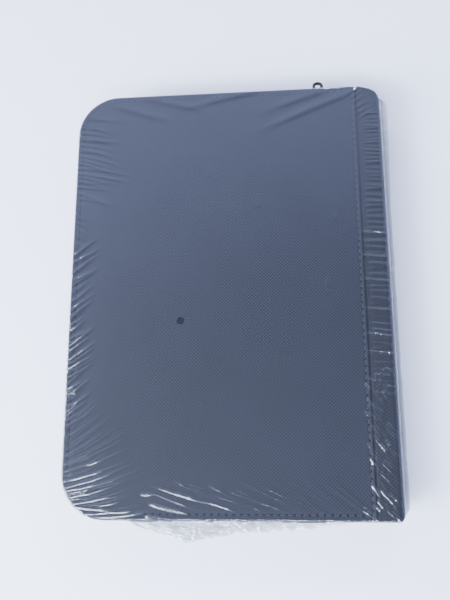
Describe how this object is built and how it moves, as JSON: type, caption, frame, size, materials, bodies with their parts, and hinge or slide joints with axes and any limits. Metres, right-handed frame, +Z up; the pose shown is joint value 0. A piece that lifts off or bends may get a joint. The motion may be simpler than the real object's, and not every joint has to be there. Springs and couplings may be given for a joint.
{
  "type": "trading card binder",
  "caption": "Zip-around trading card binder with padded woven covers, side-loading pocket pages and clear shrink film, lying closed on its front cover.",
  "frame": {"origin": "on the rest plane, under the middle of the covers", "axes": "+X from the free edge to the spine, +Y along the spine to the top edge, +Z up out of the back cover"},
  "size_m": [0.1906, 0.2836, 0.03],
  "materials": {
    "woven_skin": "fine checked weave, slate blue",
    "spine_fabric": "fine checked weave, slate blue",
    "padding": "soft foam padding",
    "board": "grey-brown board",
    "lining": "smooth dark lining",
    "zip_tape": "woven tape",
    "zip_teeth": "nylon",
    "zip_metal": "black enamel, satin",
    "page_sheet": "black polypropylene sheet",
    "clear_pocket": "clear polypropylene",
    "binding": "welded black plastic",
    "film": "clear shrink film"
  },
  "bodies": {
    "front_cover": {"front_outer_skin": "woven_skin", "front_foam": "padding", "front_board": "board", "front_lining": "lining", "front_hinge_strip": "spine_fabric", "zip_tape_front": "zip_tape", "zip_coil_front": "zip_teeth", "zip_end_stops": "zip_metal", "zip_end_tabs": "zip_tape", "film_front": "film", "film_end_flap": "film"},
    "spine": {"spine_skin": "spine_fabric", "spine_board": "board", "spine_lining": "lining", "binding_strip": "binding", "film_spine": "film", "film_side_fin": "film"},
    "back_cover": {"back_outer_skin": "woven_skin", "back_foam": "padding", "back_board": "board", "back_lining": "lining", "back_hinge_strip": "spine_fabric", "zip_tape_back": "zip_tape", "zip_coil_back": "zip_teeth", "film_back": "film"},
    "zip_slider": {"zip_slider_body": "zip_metal"},
    "zip_pull": {"zip_pull_loop": "zip_metal"},
    "page_01": {"page_01_sheet": "page_sheet", "page_01_pockets": "clear_pocket"},
    "page_02": {"page_02_sheet": "page_sheet", "page_02_pockets": "clear_pocket"},
    "page_03": {"page_03_sheet": "page_sheet", "page_03_pockets": "clear_pocket"},
    "page_04": {"page_04_sheet": "page_sheet", "page_04_pockets": "clear_pocket"},
    "page_05": {"page_05_sheet": "page_sheet", "page_05_pockets": "clear_pocket"},
    "page_06": {"page_06_sheet": "page_sheet", "page_06_pockets": "clear_pocket"},
    "page_07": {"page_07_sheet": "page_sheet", "page_07_pockets": "clear_pocket"},
    "page_08": {"page_08_sheet": "page_sheet", "page_08_pockets": "clear_pocket"},
    "page_09": {"page_09_sheet": "page_sheet", "page_09_pockets": "clear_pocket"},
    "page_10": {"page_10_sheet": "page_sheet", "page_10_pockets": "clear_pocket"},
    "page_11": {"page_11_sheet": "page_sheet", "page_11_pockets": "clear_pocket"},
    "page_12": {"page_12_sheet": "page_sheet", "page_12_pockets": "clear_pocket"}
  },
  "joints": [
    {"name": "binder_open", "type": "hinge", "parent": "front_cover", "child": "spine", "pos_m": [0.09083, 0, 0.00117], "axis": [0, 1, 0], "range_deg": [0, 90], "deforming": ["film_side_fin"]},
    {"name": "back_cover_hinge", "type": "hinge", "parent": "spine", "child": "back_cover", "pos_m": [0.09083, 0, 0.02883], "axis": [0, 1, 0], "range_deg": [0, 90]},
    {"name": "page_01_turn", "type": "hinge", "parent": "spine", "child": "page_01", "pos_m": [0.086, 0, 0.00583], "axis": [0, 1, 0], "range_deg": [-90, 0]},
    {"name": "page_02_turn", "type": "hinge", "parent": "spine", "child": "page_02", "pos_m": [0.086, 0, 0.0075], "axis": [0, 1, 0], "range_deg": [-90, 0]},
    {"name": "page_03_turn", "type": "hinge", "parent": "spine", "child": "page_03", "pos_m": [0.086, 0, 0.00917], "axis": [0, 1, 0], "range_deg": [-90, 0]},
    {"name": "page_04_turn", "type": "hinge", "parent": "spine", "child": "page_04", "pos_m": [0.086, 0, 0.01083], "axis": [0, 1, 0], "range_deg": [-90, 0]},
    {"name": "page_05_turn", "type": "hinge", "parent": "spine", "child": "page_05", "pos_m": [0.086, 0, 0.0125], "axis": [0, 1, 0], "range_deg": [-90, 0]},
    {"name": "page_06_turn", "type": "hinge", "parent": "spine", "child": "page_06", "pos_m": [0.086, 0, 0.01417], "axis": [0, 1, 0], "range_deg": [-90, 0]},
    {"name": "page_07_turn", "type": "hinge", "parent": "spine", "child": "page_07", "pos_m": [0.086, 0, 0.01583], "axis": [0, 1, 0], "range_deg": [0, 90]},
    {"name": "page_08_turn", "type": "hinge", "parent": "spine", "child": "page_08", "pos_m": [0.086, 0, 0.0175], "axis": [0, 1, 0], "range_deg": [0, 90]},
    {"name": "page_09_turn", "type": "hinge", "parent": "spine", "child": "page_09", "pos_m": [0.086, 0, 0.01917], "axis": [0, 1, 0], "range_deg": [0, 90]},
    {"name": "page_10_turn", "type": "hinge", "parent": "spine", "child": "page_10", "pos_m": [0.086, 0, 0.02083], "axis": [0, 1, 0], "range_deg": [0, 90]},
    {"name": "page_11_turn", "type": "hinge", "parent": "spine", "child": "page_11", "pos_m": [0.086, 0, 0.0225], "axis": [0, 1, 0], "range_deg": [0, 90]},
    {"name": "page_12_turn", "type": "hinge", "parent": "spine", "child": "page_12", "pos_m": [0.086, 0, 0.02417], "axis": [0, 1, 0], "range_deg": [0, 90]},
    {"name": "zip_slide", "type": "slide", "parent": "front_cover", "child": "zip_slider", "axis": [-1, 0, 0], "range_m": [0, 0.11], "deforming": ["zip_coil_front", "zip_coil_back"]},
    {"name": "pull_swing", "type": "hinge", "parent": "zip_slider", "child": "zip_pull", "pos_m": [0.0585, 0.128, 0.015], "axis": [1, 0, 0], "range_deg": [-50, 95]}
  ],
  "couplings": [
    {"joint": "back_cover_hinge", "follows": "binder_open", "ratio": 1},
    {"joint": "page_01_turn", "follows": "binder_open", "ratio": -0.95556},
    {"joint": "page_02_turn", "follows": "binder_open", "ratio": -0.91667},
    {"joint": "page_03_turn", "follows": "binder_open", "ratio": -0.88889},
    {"joint": "page_04_turn", "follows": "binder_open", "ratio": -0.86111},
    {"joint": "page_05_turn", "follows": "binder_open", "ratio": -0.83333},
    {"joint": "page_06_turn", "follows": "binder_open", "ratio": -0.80556},
    {"joint": "page_07_turn", "follows": "binder_open", "ratio": 0.80556},
    {"joint": "page_08_turn", "follows": "binder_open", "ratio": 0.83333},
    {"joint": "page_09_turn", "follows": "binder_open", "ratio": 0.86111},
    {"joint": "page_10_turn", "follows": "binder_open", "ratio": 0.88889},
    {"joint": "page_11_turn", "follows": "binder_open", "ratio": 0.91667},
    {"joint": "page_12_turn", "follows": "binder_open", "ratio": 0.95556}
  ]
}
